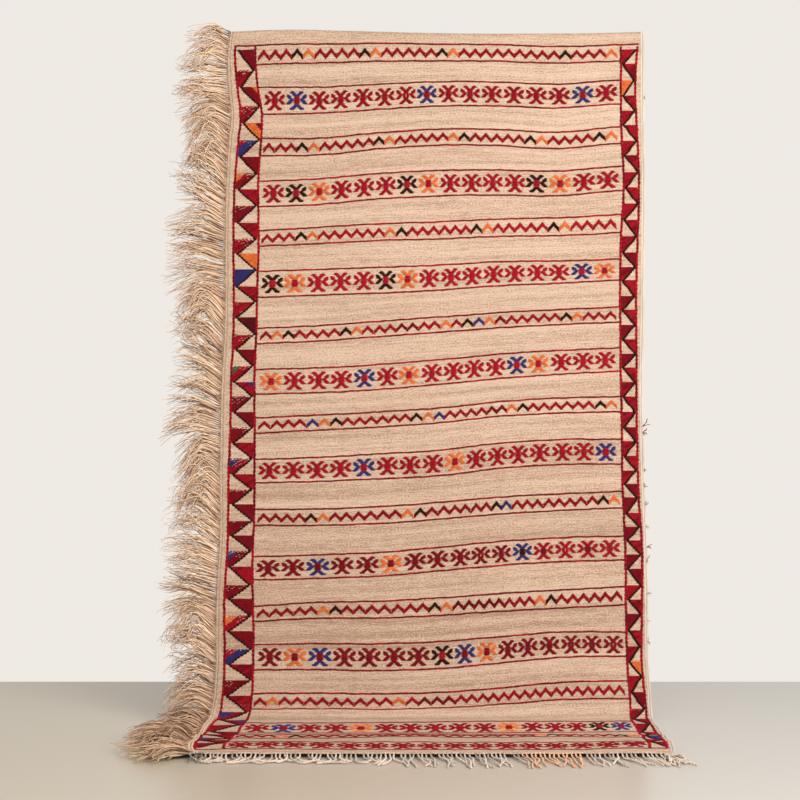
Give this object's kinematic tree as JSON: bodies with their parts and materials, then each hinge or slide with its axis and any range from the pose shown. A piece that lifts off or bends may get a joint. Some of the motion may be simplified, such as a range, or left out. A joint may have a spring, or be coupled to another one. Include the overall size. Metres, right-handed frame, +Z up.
{
  "type": "palm straw mat",
  "caption": "Traditional flat-woven palm straw mat with wool zigzag and star rows, hung by its top edge, its foot pooled on the floor, palm fringe down one side.",
  "frame": {"origin": "centre of the mat's top edge, where it is held", "axes": "+Z up the hanging mat, -Y the way the patterned face looks and the foot runs, -X the palm fringe side"},
  "size_m": [1.5403, 0.8159, 2.0779],
  "materials": {
    "straw_weave": "undyed straw flat weave with wool pattern rows, matt",
    "palm_fibre": "raw palm leaf strands, dry, slightly glossy",
    "warp_yarn": "cream twisted yarn, matt",
    "pattern_wool": "dyed wool yarn in red, black, orange and blue, matt"
  },
  "bodies": {
    "root": {"mat_cloth": "straw_weave", "palm_fringe": "palm_fibre", "side_cord": "warp_yarn", "warp_tassels": "warp_yarn"}
  },
  "joints": []
}
